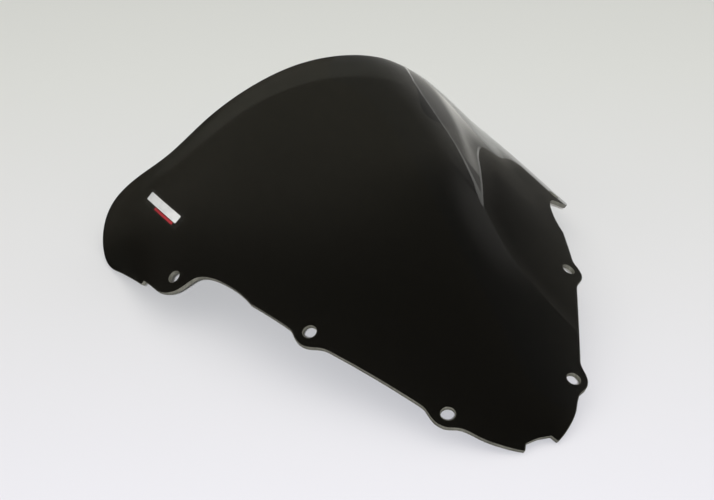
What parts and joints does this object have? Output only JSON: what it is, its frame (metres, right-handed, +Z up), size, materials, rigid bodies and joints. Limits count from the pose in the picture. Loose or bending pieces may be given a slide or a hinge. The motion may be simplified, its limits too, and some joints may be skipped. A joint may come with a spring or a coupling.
{
  "type": "motorcycle windshield screen",
  "caption": "Double-bubble motorcycle windshield screen: one formed sheet of dark tinted acrylic with rounded rear lobes, mounting ears with bare holes, a nose notch and a small label.",
  "frame": {"origin": "bottom centre of the bounding box, with the screen lying as on a flat table", "axes": "+Z up from the table, -Y towards the nose, +Y towards the rear edge and lobes, X across; the screen is the same on both sides of the plane X = 0"},
  "size_m": [0.3676, 0.4026, 0.144],
  "materials": {
    "screen_acrylic": "polished, near-opaque dark smoke tint, about 3 percent see-through",
    "label_film": "clear adhesive film over the dark sheet",
    "print_light": "light printed ink under a gloss film",
    "print_red": "dark red printed ink under a gloss film"
  },
  "bodies": {
    "root": {"screen_shell": "screen_acrylic", "label_film": "label_film", "label_print_light": "print_light", "label_print_red": "print_red"}
  },
  "joints": []
}
